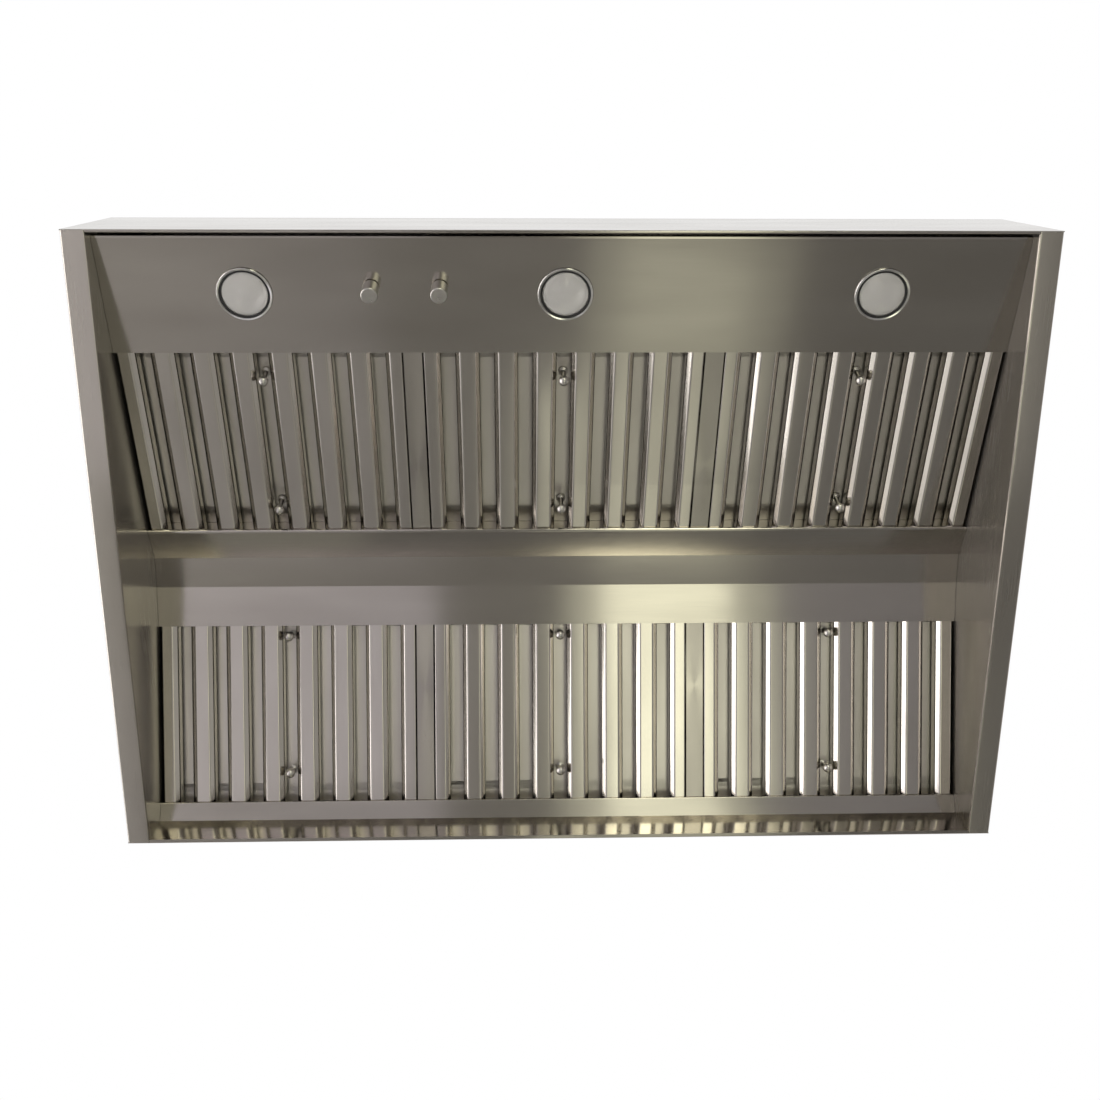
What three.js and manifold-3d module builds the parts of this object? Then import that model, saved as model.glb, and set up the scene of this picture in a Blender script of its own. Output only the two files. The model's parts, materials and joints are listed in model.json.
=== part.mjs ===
// Range hood insert, 48 in wide: a folded stainless body with a sloped lamp and
// control panel, two rows of three baffle filters that meet at a ridge, and a
// blower with its duct collar and back-draught damper on the deck.
// Millimetres, +Z up, the front towards -Y, the bottom rim on Z = 0.
import * as THREE from 'three';
import { mergeVertices } from 'three/addons/utils/BufferGeometryUtils.js';
import Module from 'manifold-3d';

const wasm = await Module();
wasm.setup();

// ---- sheet metal and fits ----------------------------------------------------
const shellSheet = 1.2;
const bendRadius = 1.6;
const seatGap = 0.3;
const runningGap = 0.4;
const cutOver = 1; // how far a cutting solid runs past what it cuts
const weldLap = 0.1; // how far one welded sheet sinks into the next

// ---- facets of round pieces ---------------------------------------------------
const roundFacets = 24;
const pinFacets = 16;
const ballFacets = 12;
const blowerFacets = 32;
const ductFacets = 48;

// ---- baffle filters ----------------------------------------------------------
const filtersPerRow = 3;
const slotCount = 7;
const slotWidth = 18.6;
const ridgeWidth = 31.8;
const edgeRidgeWidth = 22;
const ridgeFlange = 22;
const ridgeCorner = 4.5;
const filterSheet = 0.8;
const filterLength = 287.5;
const filterDepth = 34;
const endRailWidth = 7;
const baffleWidth = 37;
const baffleFloor = 28;
const baffleFlange = 16;
const tieWidth = 12;
const tieInset = 22;
const tieSheet = 1.2;

// ---- filter ball knobs -------------------------------------------------------
const ballRadius = 7;
const ballProud = 1;
const ballStemRadius = 3;
const ballFootRadius = 6.5;
const ballFootHeight = 2;
const lowerBallInset = 48.5;
const upperBallInset = 40;

// ---- filter bays -------------------------------------------------------------
const frontTilt = THREE.MathUtils.degToRad(16);
const rearTilt = THREE.MathUtils.degToRad(16);
const frontLowerBearing = 7.5;
const frontUpperBearing = 8;
const rearLowerBearing = 7.5;
const rearUpperBearing = 24;
const dividerWidth = 24;
const dividerWeb = 20;
const filterSideGap = 2;
const filterWallGap = 4.1;

// ---- body --------------------------------------------------------------------
const sideFlange = 30;
const topFlange = 20;
const frontHemWidth = 4;
const frontHemHeight = 12;
const rearHemWidth = 6;
const frontReveal = 8;
const panelLift = 19.5;
const panelRun = 151;
const panelFrontFlange = 30;
const ridgeLip = 5.6;
const ridgeFrontRun = 48.2;
const ridgeFrontRise = 22.5;
const ridgeTopRun = 42.9;
const ridgeTopFall = 3;
const ridgeRearRun = 56.4;
const ridgeRearFall = 10.5;
const innerWallReach = 10;
const plenumGap = 19.8;
const railStop = 18;
const railFoot = 14;
const rearRailDrop = 17.1;
const rearRailNose = 3.2;
const rearStop = 8;
const backGap = 5.76;

// ---- lamps -------------------------------------------------------------------
const lampCount = 3;
const lampSpacing = 402;
const lampFromEdge = 80.5;
const lampHole = 31;
const bezelRadius = 35.5;
const bezelProud = 2.6;
const bezelNeck = 30.4;
const bezelNeckLength = 9;
const lensRadius = 28.6;
const lensThickness = 2.4;
const lensLip = 1.4;
const lipHeight = 1.2;
const canRadius = 33;
const canHeight = 42;
const canFlange = 6;

// ---- controls ----------------------------------------------------------------
const knobSpacing = 86;
const knobFromEdge = 89.5;
const knobRadius = 10.6;
const knobLength = 26;
const knobEndRound = 1.6;
const knobStandOff = 1.8;
const shaftRadius = 3;
const shaftReach = 14;
const bushRadius = 5;
const bushProud = 1.2;
const switchRadius = 15;
const switchHeight = 24;

// ---- blower ------------------------------------------------------------------
const blowerBack = 40;
const boxFlange = 16;
const boxSideGap = 6;
const boxEndGap = 8;
const wheelRadius = 80;
const wheelWidth = 140;
const wheelSheet = 1.6;
const bladeCount = 24;
const bladeDepth = 14;
const bladeInset = 1;
const hubRadius = 14;
const hubLength = 34;
const motorShaftRadius = 5;
const scrollSheet = 1.2;
const scrollStart = 8;
const scrollGrowth = 34;
const scrollSideGap = 8;
const cutOffAngle = THREE.MathUtils.degToRad(100);
const inletRadius = 64;
const throatRise = 40;
const motorRadius = 44;
const motorLength = 74;
const motorSetback = 6;
const motorRound = 4;
const bearingRim = 6;
const bearingProud = 3;
const motorShaftReach = 30;
const bracketWidth = 60;
const bracketSheet = 2;
const bracketFoot = 22;
const bracketRise = 24;

// ---- duct collar and damper --------------------------------------------------
const collarRadius = 127;
const collarHeight = 52;
const collarFlange = 14;
const rodRadius = 3;
const rodHeight = 22;
const flapSheet = 1;
const flapEdgeGap = 1.6;
const barrelWall = 1.4;
const barrelGap = 1.2;
const barrelCount = 4;

// ---- junction box ------------------------------------------------------------
const junctionWidth = 110;
const junctionDepth = 76;
const junctionHeight = 46;
const junctionAway = 70;
const knockoutRadius = 11;
const lidSkirt = 8;

// ---- sizes that follow from the ones above -------------------------------------
const slotPitch = slotWidth + ridgeWidth;
const filterWidth = 2 * edgeRidgeWidth + slotCount * slotWidth + (slotCount - 1) * ridgeWidth;
const filterPitch = filterWidth + 2 * filterSideGap + dividerWidth;
const innerWidth = (filtersPerRow - 1) * filterPitch + filterWidth + 2 * filterWallGap;
const hoodWidth = innerWidth + 2 * sideFlange;
const bedLift = shellSheet + seatGap;
const frontBay = filterLength - frontLowerBearing - frontUpperBearing;
const rearBay = filterLength - rearLowerBearing - rearUpperBearing;
const frontBayRun = frontBay * Math.cos(frontTilt);
const panelLength = panelRun / Math.cos(frontTilt);
const panelRearLift = panelLift + panelRun * Math.tan(frontTilt);

// distances from the front face, and heights, of the folds seen from below
const panelRear = frontReveal + panelRun;
const ridgeFront = panelRear + frontBayRun;
const ridgeFrontLift = panelRearLift + bedLift / Math.cos(frontTilt)
  + frontBayRun * Math.tan(frontTilt) - ridgeLip;
const ridgeCrest = ridgeFront + ridgeFrontRun;
const ridgeCrestLift = ridgeFrontLift + ridgeFrontRise;
const ridgeFall = ridgeCrest + ridgeTopRun;
const ridgeFallLift = ridgeCrestLift - ridgeTopFall;
const ridgeRear = ridgeFall + ridgeRearRun;
const ridgeRearLift = ridgeFallLift - ridgeRearFall;
const railEdge = ridgeRear + rearBay * Math.cos(rearTilt) + shellSheet * Math.sin(rearTilt);
const railEdgeLift = ridgeRearLift - rearBay * Math.sin(rearTilt) + shellSheet * Math.cos(rearTilt);
const railFoldLift = railEdgeLift - rearRailDrop;
const filterBackCorner = ridgeRear + (rearBay + rearLowerBearing) * Math.cos(rearTilt)
  + (bedLift + filterDepth) * Math.sin(rearTilt);
const hoodDepth = filterBackCorner + backGap + shellSheet;
const railFold = hoodDepth - 2 * shellSheet - seatGap;
const bodyHeight = ridgeCrestLift + filterDepth + plenumGap;
const innerWallHeight = ridgeCrestLift + innerWallReach;
const inside = innerWidth / 2 - seatGap;
const frontFace = -hoodDepth / 2;
const backFace = hoodDepth / 2;

const scrollHalf = wheelWidth / 2 + scrollSideGap;
const motorStart = scrollHalf + scrollSheet + motorSetback;
const motorEnd = motorStart + motorLength;
const boxHalfWidth = motorEnd + seatGap + bracketRise + seatGap + shellSheet;
const scrollReach = wheelRadius + scrollStart + scrollGrowth + scrollSheet;
const boxHalfDepth = Math.max(scrollReach, collarRadius + collarFlange) + boxSideGap + shellSheet;
const axleLift = scrollReach + boxEndGap;
const boxHeight = axleLift + wheelRadius + throatRise + scrollSheet + seatGap + shellSheet;

// ---- materials -----------------------------------------------------------------
function metal(color, roughness, metalness = 1) {
  return new THREE.MeshStandardMaterial({ color, roughness, metalness });
}

const finish = {
  brushed: metal('#b9b4ad', 0.34),
  baffle: metal('#c2bdb5', 0.28),
  polished: metal('#d9d8d6', 0.12),
  galvanised: metal('#a9adb0', 0.5),
  cast: metal('#8e9092', 0.55),
  lens: metal('#e6e5e0', 0.3, 0),
  nylon: metal('#2b2b2c', 0.6, 0),
};

// ---- solids --------------------------------------------------------------------
function toSolid(geometry) {
  const bare = geometry.clone();
  bare.deleteAttribute('normal');
  bare.deleteAttribute('uv');
  const welded = mergeVertices(bare, 1e-4);
  const corners = welded.index.array;
  const triangles = [];
  for (let i = 0; i < corners.length; i += 3) {
    const [a, b, c] = corners.slice(i, i + 3);
    if (a !== b && b !== c && c !== a) triangles.push(a, b, c);
  }
  return new wasm.Manifold(new wasm.Mesh({
    numProp: 3,
    vertProperties: new Float32Array(welded.attributes.position.array),
    triVerts: new Uint32Array(triangles),
  }));
}

function toGeometry(solid) {
  const mesh = solid.getMesh();
  const geometry = new THREE.BufferGeometry();
  geometry.setAttribute('position', new THREE.BufferAttribute(mesh.vertProperties, 3));
  geometry.setIndex(new THREE.BufferAttribute(mesh.triVerts, 1));
  const flat = geometry.toNonIndexed();
  flat.computeVertexNormals();
  return flat;
}

function join(pieces) {
  return pieces.map(toSolid).reduce((whole, piece) => whole.add(piece));
}

function cut(solid, tools) {
  return tools.map(toSolid).reduce((rest, tool) => rest.subtract(tool), solid);
}

function box(x0, x1, y0, y1, z0, z1) {
  const geometry = new THREE.BoxGeometry(x1 - x0, y1 - y0, z1 - z0);
  return geometry.translate((x0 + x1) / 2, (y0 + y1) / 2, (z0 + z1) / 2);
}

function rod(radius, from, to, facets = roundFacets) {
  const geometry = new THREE.CylinderGeometry(radius, radius, to - from, facets);
  return geometry.translate(0, (from + to) / 2, 0);
}

function uprightRod(radius, z0, z1, facets = roundFacets) {
  return rod(radius, z0, z1, facets).rotateX(Math.PI / 2);
}

function crossRod(radius, x0, x1, facets = roundFacets) {
  return rod(radius, x0, x1, facets).rotateZ(-Math.PI / 2);
}

// a closed ring or plug of revolution about Z, from [radius, height] corners
function turned(corners, facets = roundFacets) {
  const profile = corners.map(([radius, height]) => new THREE.Vector2(radius, height));
  const closed = corners[0][0] === 0 ? profile : [...profile, profile[0].clone()];
  return new THREE.LatheGeometry(closed, facets).rotateX(Math.PI / 2);
}

function arcPoints(centre, radius, from, to, steps) {
  return Array.from({ length: steps + 1 }, (_, i) => {
    const angle = from + (to - from) * i / steps;
    return [centre[0] + radius * Math.cos(angle), centre[1] + radius * Math.sin(angle)];
  });
}

// the outline of a folded sheet: `fold` is its seen side, and the sheet lies on
// the left of it as it runs, with each bend rounded
function sheetOutline(fold, sheet, radius = bendRadius, steps = 2) {
  const face = [];
  const back = [];
  const left = ([ax, ay], [bx, by]) => {
    const length = Math.hypot(bx - ax, by - ay);
    return [(ay - by) / length, (bx - ax) / length];
  };
  fold.forEach((corner, i) => {
    if (i === 0 || i === fold.length - 1) {
      const normal = i === 0 ? left(fold[0], fold[1]) : left(fold[i - 1], fold[i]);
      face.push(corner);
      back.push([corner[0] + sheet * normal[0], corner[1] + sheet * normal[1]]);
      return;
    }
    const before = left(fold[i - 1], corner);
    const after = left(corner, fold[i + 1]);
    const turn = Math.atan2(before[0] * after[1] - before[1] * after[0],
      before[0] * after[0] + before[1] * after[1]);
    const side = Math.sign(turn) || 1;
    const faceRadius = side > 0 ? radius + sheet : radius;
    const backRadius = side > 0 ? radius : radius + sheet;
    const spread = 1 + before[0] * after[0] + before[1] * after[1];
    const centre = [0, 1].map((k) => corner[k] + side * faceRadius * (before[k] + after[k]) / spread);
    const from = Math.atan2(-side * before[1], -side * before[0]);
    face.push(...arcPoints(centre, faceRadius, from, from + turn, steps));
    back.push(...arcPoints(centre, backRadius, from, from + turn, steps));
  });
  return [...face, ...back.reverse()];
}

// outlines keep to a micron, so that faces meant to be flush really are
function extrude(points, depth) {
  const micron = (value) => Math.round(value * 1000) / 1000;
  const shape = new THREE.Shape(points.map(([x, y]) => new THREE.Vector2(micron(x), micron(y))));
  return new THREE.ExtrudeGeometry(shape, { depth, bevelEnabled: false });
}

// [y, z] corners swept along X from x0 to x1
function sweepX(points, x0, x1) {
  const toYZ = new THREE.Matrix4().makeBasis(
    new THREE.Vector3(0, 1, 0), new THREE.Vector3(0, 0, 1), new THREE.Vector3(1, 0, 0));
  return extrude(points, x1 - x0).applyMatrix4(toYZ).translate(x0, 0, 0);
}

// [x, z] corners swept along Y from y0 to y1
function sweepY(points, y0, y1) {
  return extrude(points, y1 - y0).rotateX(Math.PI / 2).translate(0, y1, 0);
}

function mirrored(points) {
  return points.map(([x, z]) => [-x, z]).reverse();
}

function node(name, geometry, material) {
  const mesh = new THREE.Mesh(geometry, material);
  mesh.name = name;
  return mesh;
}

function across(count) {
  return Array.from({ length: count }, (_, i) => i - (count - 1) / 2);
}

// ---- body shell ----------------------------------------------------------------
// The front and back panels carry their flanges only between the side panels.
function notched(profile) {
  const half = hoodWidth / 2;
  const body = toSolid(sweepX(profile, -half, half));
  const notches = [[-half - cutOver, -innerWidth / 2], [innerWidth / 2, half + cutOver]].map(([from, to]) =>
    box(from, to, frontFace + shellSheet, backFace - shellSheet, -cutOver, bodyHeight));
  return toGeometry(cut(body, notches));
}

function frontPanel() {
  const top = bodyHeight - shellSheet;
  const profile = sheetOutline([
    [frontFace + topFlange, top],
    [frontFace, top],
    [frontFace, 0],
    [frontFace + frontHemWidth, 0],
    [frontFace + frontHemWidth, frontHemHeight],
  ], shellSheet, seatGap);
  return node('front_panel', notched(profile), finish.brushed);
}

function backPanel() {
  const top = bodyHeight - shellSheet;
  const profile = sheetOutline([
    [backFace - rearHemWidth, 0],
    [backFace, 0],
    [backFace, top],
    [backFace - topFlange, top],
  ], shellSheet, seatGap);
  return node('back_panel', notched(profile), finish.brushed);
}

function sidePanel(name, mirror) {
  const outer = hoodWidth / 2;
  const inner = innerWidth / 2;
  const profile = sheetOutline([
    [inner, innerWallHeight],
    [inner, 0],
    [outer, 0],
    [outer, bodyHeight - shellSheet],
    [outer - topFlange, bodyHeight - shellSheet],
  ], shellSheet);
  const points = mirror ? mirrored(profile) : profile;
  return node(name, sweepY(points, frontFace + shellSheet, backFace - shellSheet), finish.brushed);
}

function topPanel() {
  const half = hoodWidth / 2;
  const plate = toSolid(box(-half, half, frontFace, backFace, bodyHeight - shellSheet, bodyHeight));
  const inletX = boxHalfWidth - shellSheet;
  const inletY = boxHalfDepth - shellSheet;
  const inlet = box(-inletX, inletX, blowerBack - inletY, blowerBack + inletY, 0, bodyHeight + cutOver);
  return node('top_panel', toGeometry(cut(plate, [inlet])), finish.brushed);
}

// ---- what the filters rest on ----------------------------------------------------
// A bay's frame: local Y runs along the slope and local Z stands square to it.
function bay(distance, lift, tilt) {
  const group = new THREE.Group();
  group.position.set(0, frontFace + distance, lift);
  group.rotation.x = tilt;
  return group;
}

function controlPanel() {
  const outline = sheetOutline([
    [-panelLength + panelFrontFlange * Math.sin(frontTilt), panelFrontFlange * Math.cos(frontTilt)],
    [-panelLength, 0],
    [0, 0],
  ], shellSheet);
  const lampHoles = lampPlaces().map((x) =>
    uprightRod(lampHole, -cutOver, bedLift).translate(x, -lampFromEdge, 0));
  const knobHoles = knobPlaces().map((x) =>
    uprightRod(bushRadius + seatGap, -cutOver, bedLift, pinFacets).translate(x, -knobFromEdge, 0));
  const sheet = toSolid(sweepX(outline, -inside, inside));
  return node('control_panel', toGeometry(cut(sheet, [...lampHoles, ...knobHoles])), finish.brushed);
}

function frontFilterRail() {
  const stop = -frontLowerBearing - seatGap;
  const outline = sheetOutline([
    [stop - railFoot, bedLift],
    [stop, bedLift],
    [stop, bedLift + railStop],
  ], shellSheet, seatGap);
  return node('front_filter_rail', sweepX(outline, -inside, inside), finish.galvanised);
}

function centreRidge() {
  const fold = [
    [ridgeFront, ridgeFrontLift + ridgeLip - seatGap],
    [ridgeFront, ridgeFrontLift],
    [ridgeCrest, ridgeCrestLift],
    [ridgeFall, ridgeFallLift],
    [ridgeRear, ridgeRearLift],
  ].map(([distance, lift]) => [frontFace + distance, lift]);
  return node('centre_ridge', sweepX(sheetOutline(fold, shellSheet), -inside, inside), finish.brushed);
}

function rearFilterRail() {
  const along = [Math.cos(rearTilt), -Math.sin(rearTilt)];
  const square = [Math.sin(rearTilt), Math.cos(rearTilt)];
  const shelf = rearLowerBearing + seatGap;
  const stopFoot = [railEdge + shelf * along[0], railEdgeLift + shelf * along[1]];
  const fold = [
    [stopFoot[0] + rearStop * square[0], stopFoot[1] + rearStop * square[1]],
    stopFoot,
    [railEdge, railEdgeLift],
    [railEdge - rearRailNose * square[0], railEdgeLift - rearRailNose * square[1]],
    [railFold, railFoldLift],
    [railFold, shellSheet],
  ].map(([distance, lift]) => [frontFace + distance, lift]);
  const outline = sheetOutline(fold, shellSheet, seatGap);
  return node('rear_filter_rail', sweepX(outline, -inside, inside), finish.brushed);
}

function divider(name, x, from, to) {
  const half = dividerWidth / 2;
  const web = shellSheet / 2;
  const tee = [
    [-half, bedLift], [half, bedLift], [half, bedLift + shellSheet], [web, bedLift + shellSheet],
    [web, bedLift + dividerWeb], [-web, bedLift + dividerWeb], [-web, bedLift + shellSheet],
    [-half, bedLift + shellSheet],
  ];
  const mesh = node(name, sweepY(tee, from, to), finish.brushed);
  mesh.position.x = x;
  return mesh;
}

// ---- baffle filter ---------------------------------------------------------------
// Local Y runs from the filter's lower end to its upper end, local Z from the
// seen face up into the filter. Ridges show on the seen face; behind them the
// baffle channels face the other way and cover the slots.
function ridgeChannel(x0, x1, leftDepth, rightDepth) {
  return sheetOutline([[x0, leftDepth], [x0, 0], [x1, 0], [x1, rightDepth]],
    filterSheet, ridgeCorner - filterSheet);
}

function filterFrame() {
  const half = filterWidth / 2;
  const channels = [
    ridgeChannel(-half, -half + edgeRidgeWidth, filterDepth, ridgeFlange),
    ridgeChannel(half - edgeRidgeWidth, half, ridgeFlange, filterDepth),
  ];
  for (const i of across(slotCount - 1)) {
    const x = i * slotPitch;
    channels.push(ridgeChannel(x - ridgeWidth / 2, x + ridgeWidth / 2, ridgeFlange, ridgeFlange));
  }
  const top = filterDepth - weldLap;
  const wall = filterSheet - 2 * weldLap;
  const lowerRail = [
    [0, weldLap], [endRailWidth, weldLap], [endRailWidth, weldLap + wall], [filterSheet, weldLap + wall],
    [filterSheet, top - wall], [endRailWidth, top - wall], [endRailWidth, top], [0, top],
  ];
  const upperRail = lowerRail.map(([y, z]) => [filterLength - y, z]).reverse();
  const ends = [lowerRail, upperRail].map((rail) => sweepX(rail, weldLap - half, half - weldLap));
  const runs = channels.map((channel) => sweepY(channel, filterSheet / 2, filterLength - filterSheet / 2));
  return toGeometry(join([...ends, ...runs]));
}

function filterBaffles() {
  const half = baffleWidth / 2;
  const back = baffleFloor + filterSheet;
  const front = back - baffleFlange;
  const clear = filterSheet + seatGap;
  const channel = sheetOutline([[half, front], [half, back], [-half, back], [-half, front]],
    filterSheet, bendRadius, 1);
  const runs = across(slotCount).map((i) =>
    sweepY(channel, clear, filterLength - clear).translate(i * slotPitch, 0, 0));
  const reach = (slotCount - 1) / 2 * slotPitch + half;
  const ties = [tieInset, filterLength - tieInset].map((y) =>
    box(-reach, reach, y - tieWidth / 2, y + tieWidth / 2, back - filterSheet / 2, back + tieSheet));
  return toGeometry(join([...runs, ...ties]));
}

function ballKnob() {
  const centre = -ballProud;
  const neck = Math.asin(ballStemRadius / ballRadius);
  const ball = arcPoints([0, centre], ballRadius, -Math.PI / 2, Math.PI / 2 - neck, 6);
  const foot = baffleFloor - seatGap;
  ball[0][0] = 0;
  return turned([
    ...ball,
    [ballStemRadius, foot - ballFootHeight],
    [ballFootRadius, foot - ballFootHeight],
    [ballFootRadius, foot],
    [0, foot],
  ], ballFacets);
}

const frameGeometry = filterFrame();
const bafflesGeometry = filterBaffles();
const knobGeometry = ballKnob();

// one filter, its lower end towards the low side of its bay
function filter(place, x, lowerEnd, direction) {
  const group = new THREE.Group();
  group.position.set(x, lowerEnd, bedLift);
  group.rotation.z = direction > 0 ? 0 : Math.PI;
  const lower = node(`${place}_filter_lower_knob`, knobGeometry, finish.polished);
  lower.position.y = lowerBallInset;
  const upper = node(`${place}_filter_upper_knob`, knobGeometry, finish.polished);
  upper.position.y = filterLength - upperBallInset;
  group.add(
    node(`${place}_filter_frame`, frameGeometry, finish.baffle),
    node(`${place}_filter_baffles`, bafflesGeometry, finish.baffle),
    lower,
    upper,
  );
  return group;
}

// ---- lamps -------------------------------------------------------------------------
function lampPlaces() {
  return across(lampCount).map((i) => i * lampSpacing);
}

function lampBezel() {
  const bore = lensRadius + seatGap;
  return turned([
    [bore - lensLip, -bezelProud],
    [bezelRadius - bezelProud / 2, -bezelProud],
    [bezelRadius, -bezelProud / 2],
    [bezelRadius, -seatGap],
    [bezelNeck, -seatGap],
    [bezelNeck, bezelNeckLength],
    [bore, bezelNeckLength],
    [bore, -bezelProud + lipHeight],
    [bore - lensLip, -bezelProud + lipHeight],
  ]);
}

function lampLens() {
  const base = -bezelProud + lipHeight + seatGap;
  return turned([
    [0, base],
    [lensRadius, base],
    [lensRadius, base + lensThickness],
    [0, base + lensThickness],
  ]);
}

function lampCan() {
  const inner = canRadius - shellSheet;
  return turned([
    [0, canHeight - shellSheet],
    [inner, canHeight - shellSheet],
    [inner, bedLift],
    [canRadius + canFlange, bedLift],
    [canRadius + canFlange, bedLift + shellSheet],
    [canRadius, bedLift + shellSheet],
    [canRadius, canHeight],
    [0, canHeight],
  ]);
}

// ---- controls ------------------------------------------------------------------------
function knobPlaces() {
  return [-1, 1].map((side) => (side * knobSpacing - lampSpacing) / 2);
}

function controlKnob() {
  const face = -knobStandOff - knobLength;
  return turned([
    [0, face],
    [knobRadius - knobEndRound, face],
    [knobRadius, face + knobEndRound],
    [knobRadius, -knobStandOff],
    [shaftRadius, -knobStandOff],
    [shaftRadius, shaftReach],
    [0, shaftReach],
  ]);
}

function rotarySwitch() {
  const bore = shaftRadius + runningGap;
  return turned([
    [0, shaftReach + runningGap],
    [bore, shaftReach + runningGap],
    [bore, -bushProud],
    [bushRadius, -bushProud],
    [bushRadius, bedLift],
    [switchRadius, bedLift],
    [switchRadius, switchHeight],
    [0, switchHeight],
  ]);
}

// ---- blower ----------------------------------------------------------------------------
// Local axes of the blower: X along the axle, Y to the back, Z up from the deck.
function blowerBox() {
  const w = boxHalfWidth;
  const d = boxHalfDepth;
  const shell = join([
    box(-w, w, -d, d, 0, boxHeight),
    box(-w - boxFlange, w + boxFlange, -d - boxFlange, d + boxFlange, 0, shellSheet),
  ]);
  return toGeometry(cut(shell, [
    box(-w + shellSheet, w - shellSheet, -d + shellSheet, d - shellSheet, -cutOver, boxHeight - shellSheet),
    uprightRod(collarRadius - shellSheet, boxHeight / 2, boxHeight + cutOver, ductFacets),
  ]));
}

function blowerScroll() {
  const top = boxHeight - shellSheet - seatGap - axleLift;
  const outer = scrollThroat(scrollSheet, top, scrollHalf + scrollSheet);
  const inner = scrollThroat(0, top + cutOver, scrollHalf);
  const reach = scrollHalf + scrollSheet + cutOver;
  const inlets = crossRod(inletRadius, -reach, reach, blowerFacets);
  return toGeometry(cut(outer.subtract(inner), [inlets]));
}

// a spiral that widens from the cut-off round to the throat, which rises at the back
function scrollThroat(extra, top, half) {
  const points = Array.from({ length: blowerFacets + 1 }, (_, i) => {
    const share = i / blowerFacets;
    const radius = wheelRadius + scrollStart + scrollGrowth * share + extra;
    const angle = cutOffAngle + (2 * Math.PI - cutOffAngle) * share;
    return [radius * Math.cos(angle), radius * Math.sin(angle)];
  });
  const [cutOff] = points;
  points.push([points[blowerFacets][0], top], [cutOff[0] - extra, top], [cutOff[0] - extra, cutOff[1]]);
  return toSolid(sweepX(points, -half, half));
}

function blowerWheel() {
  const half = wheelWidth / 2;
  const inner = wheelRadius - bladeDepth;
  const ring = (x) => turned([
    [inner, x - wheelSheet / 2], [wheelRadius, x - wheelSheet / 2],
    [wheelRadius, x + wheelSheet / 2], [inner, x + wheelSheet / 2],
  ], bladeCount).rotateY(Math.PI / 2);
  const blades = Array.from({ length: bladeCount }, (_, i) =>
    box(-half, half, inner + bladeInset, wheelRadius - bladeInset, -wheelSheet / 2, wheelSheet / 2)
      .rotateX(2 * Math.PI * i / bladeCount));
  return toGeometry(join([
    ring(-half), ring(half),
    crossRod(wheelRadius, -wheelSheet / 2, wheelSheet / 2, bladeCount),
    crossRod(hubRadius, -hubLength / 2, hubLength / 2),
    crossRod(motorShaftRadius, 0, motorStart + motorShaftReach, pinFacets),
    ...blades,
  ]));
}

function blowerMotor() {
  const bore = motorShaftRadius + runningGap;
  return turned([
    [0, motorShaftReach + runningGap],
    [bore, motorShaftReach + runningGap],
    [bore, -bearingProud],
    [bore + bearingRim, -bearingProud],
    [bore + bearingRim, 0],
    [motorRadius - motorRound, 0],
    [motorRadius, motorRound],
    [motorRadius, motorLength],
    [0, motorLength],
  ], blowerFacets).rotateY(Math.PI / 2).translate(motorStart, 0, axleLift);
}

function motorBracket() {
  const x0 = motorEnd + seatGap;
  const x1 = boxHalfWidth - shellSheet - seatGap - bracketSheet;
  const half = bracketWidth / 2;
  const fold = [
    [x0, axleLift + half],
    [x0, axleLift - half],
    [x1, axleLift - half],
    [x1, axleLift - half - bracketFoot],
  ];
  return sweepY(sheetOutline(fold, bracketSheet), -half, half);
}

// ---- duct collar and damper ------------------------------------------------------------
function ductCollar() {
  const bore = collarRadius - shellSheet;
  const ring = turned([
    [bore, 0], [collarRadius + collarFlange, 0], [collarRadius + collarFlange, shellSheet],
    [collarRadius, shellSheet], [collarRadius, collarHeight], [bore, collarHeight],
  ], ductFacets);
  const reach = collarRadius - shellSheet / 2;
  const pin = crossRod(rodRadius, -reach, reach, pinFacets).translate(0, 0, rodHeight);
  return toGeometry(join([ring, pin]));
}

// a half disc with two hinge barrels on the rod; `side` is +1 for the back flap
function damperFlap(side) {
  const barrel = rodRadius + runningGap + barrelWall;
  const reach = collarRadius - shellSheet - flapEdgeGap;
  const margin = barrel + runningGap;
  const slab = (x0, x1, near, far, half) =>
    box(x0, x1, Math.min(side * near, side * far), Math.max(side * near, side * far), -half, half);
  const disc = toSolid(uprightRod(reach, -flapSheet / 2, flapSheet / 2, ductFacets));
  const plate = disc.intersect(toSolid(slab(-reach, reach, margin, reach + cutOver, barrel)));
  const pitch = 2 * (reach - barrelGap) / barrelCount;
  const places = across(barrelCount).filter((_, i) => (i % 2 === 0) === (side > 0));
  const hinge = join(places.flatMap((i) => {
    const x0 = i * pitch - (pitch - barrelGap) / 2;
    const x1 = i * pitch + (pitch - barrelGap) / 2;
    return [crossRod(barrel, x0, x1, pinFacets), slab(x0, x1, 0, margin + cutOver, flapSheet / 2)];
  }));
  const bore = crossRod(rodRadius + runningGap, -reach - cutOver, reach + cutOver, pinFacets);
  return toGeometry(cut(plate.add(hinge), [bore]));
}

// ---- junction box ------------------------------------------------------------------------
function junctionBox() {
  const w = junctionWidth / 2;
  const d = junctionDepth / 2;
  const shell = toSolid(box(-w, w, -d, d, 0, junctionHeight));
  return toGeometry(cut(shell, [
    box(-w + shellSheet, w - shellSheet, -d + shellSheet, d - shellSheet,
      shellSheet, junctionHeight + cutOver),
    rod(knockoutRadius, d - 2 * shellSheet, d + cutOver).translate(0, 0, junctionHeight / 2),
  ]));
}

function junctionLid() {
  const w = junctionWidth / 2 + seatGap + shellSheet;
  const d = junctionDepth / 2 + seatGap + shellSheet;
  const lid = toSolid(box(-w, w, -d, d, junctionHeight - lidSkirt, junctionHeight + shellSheet));
  return toGeometry(cut(lid, [
    box(-w + shellSheet, w - shellSheet, -d + shellSheet, d - shellSheet,
      junctionHeight - lidSkirt - cutOver, junctionHeight),
  ]));
}

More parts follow.
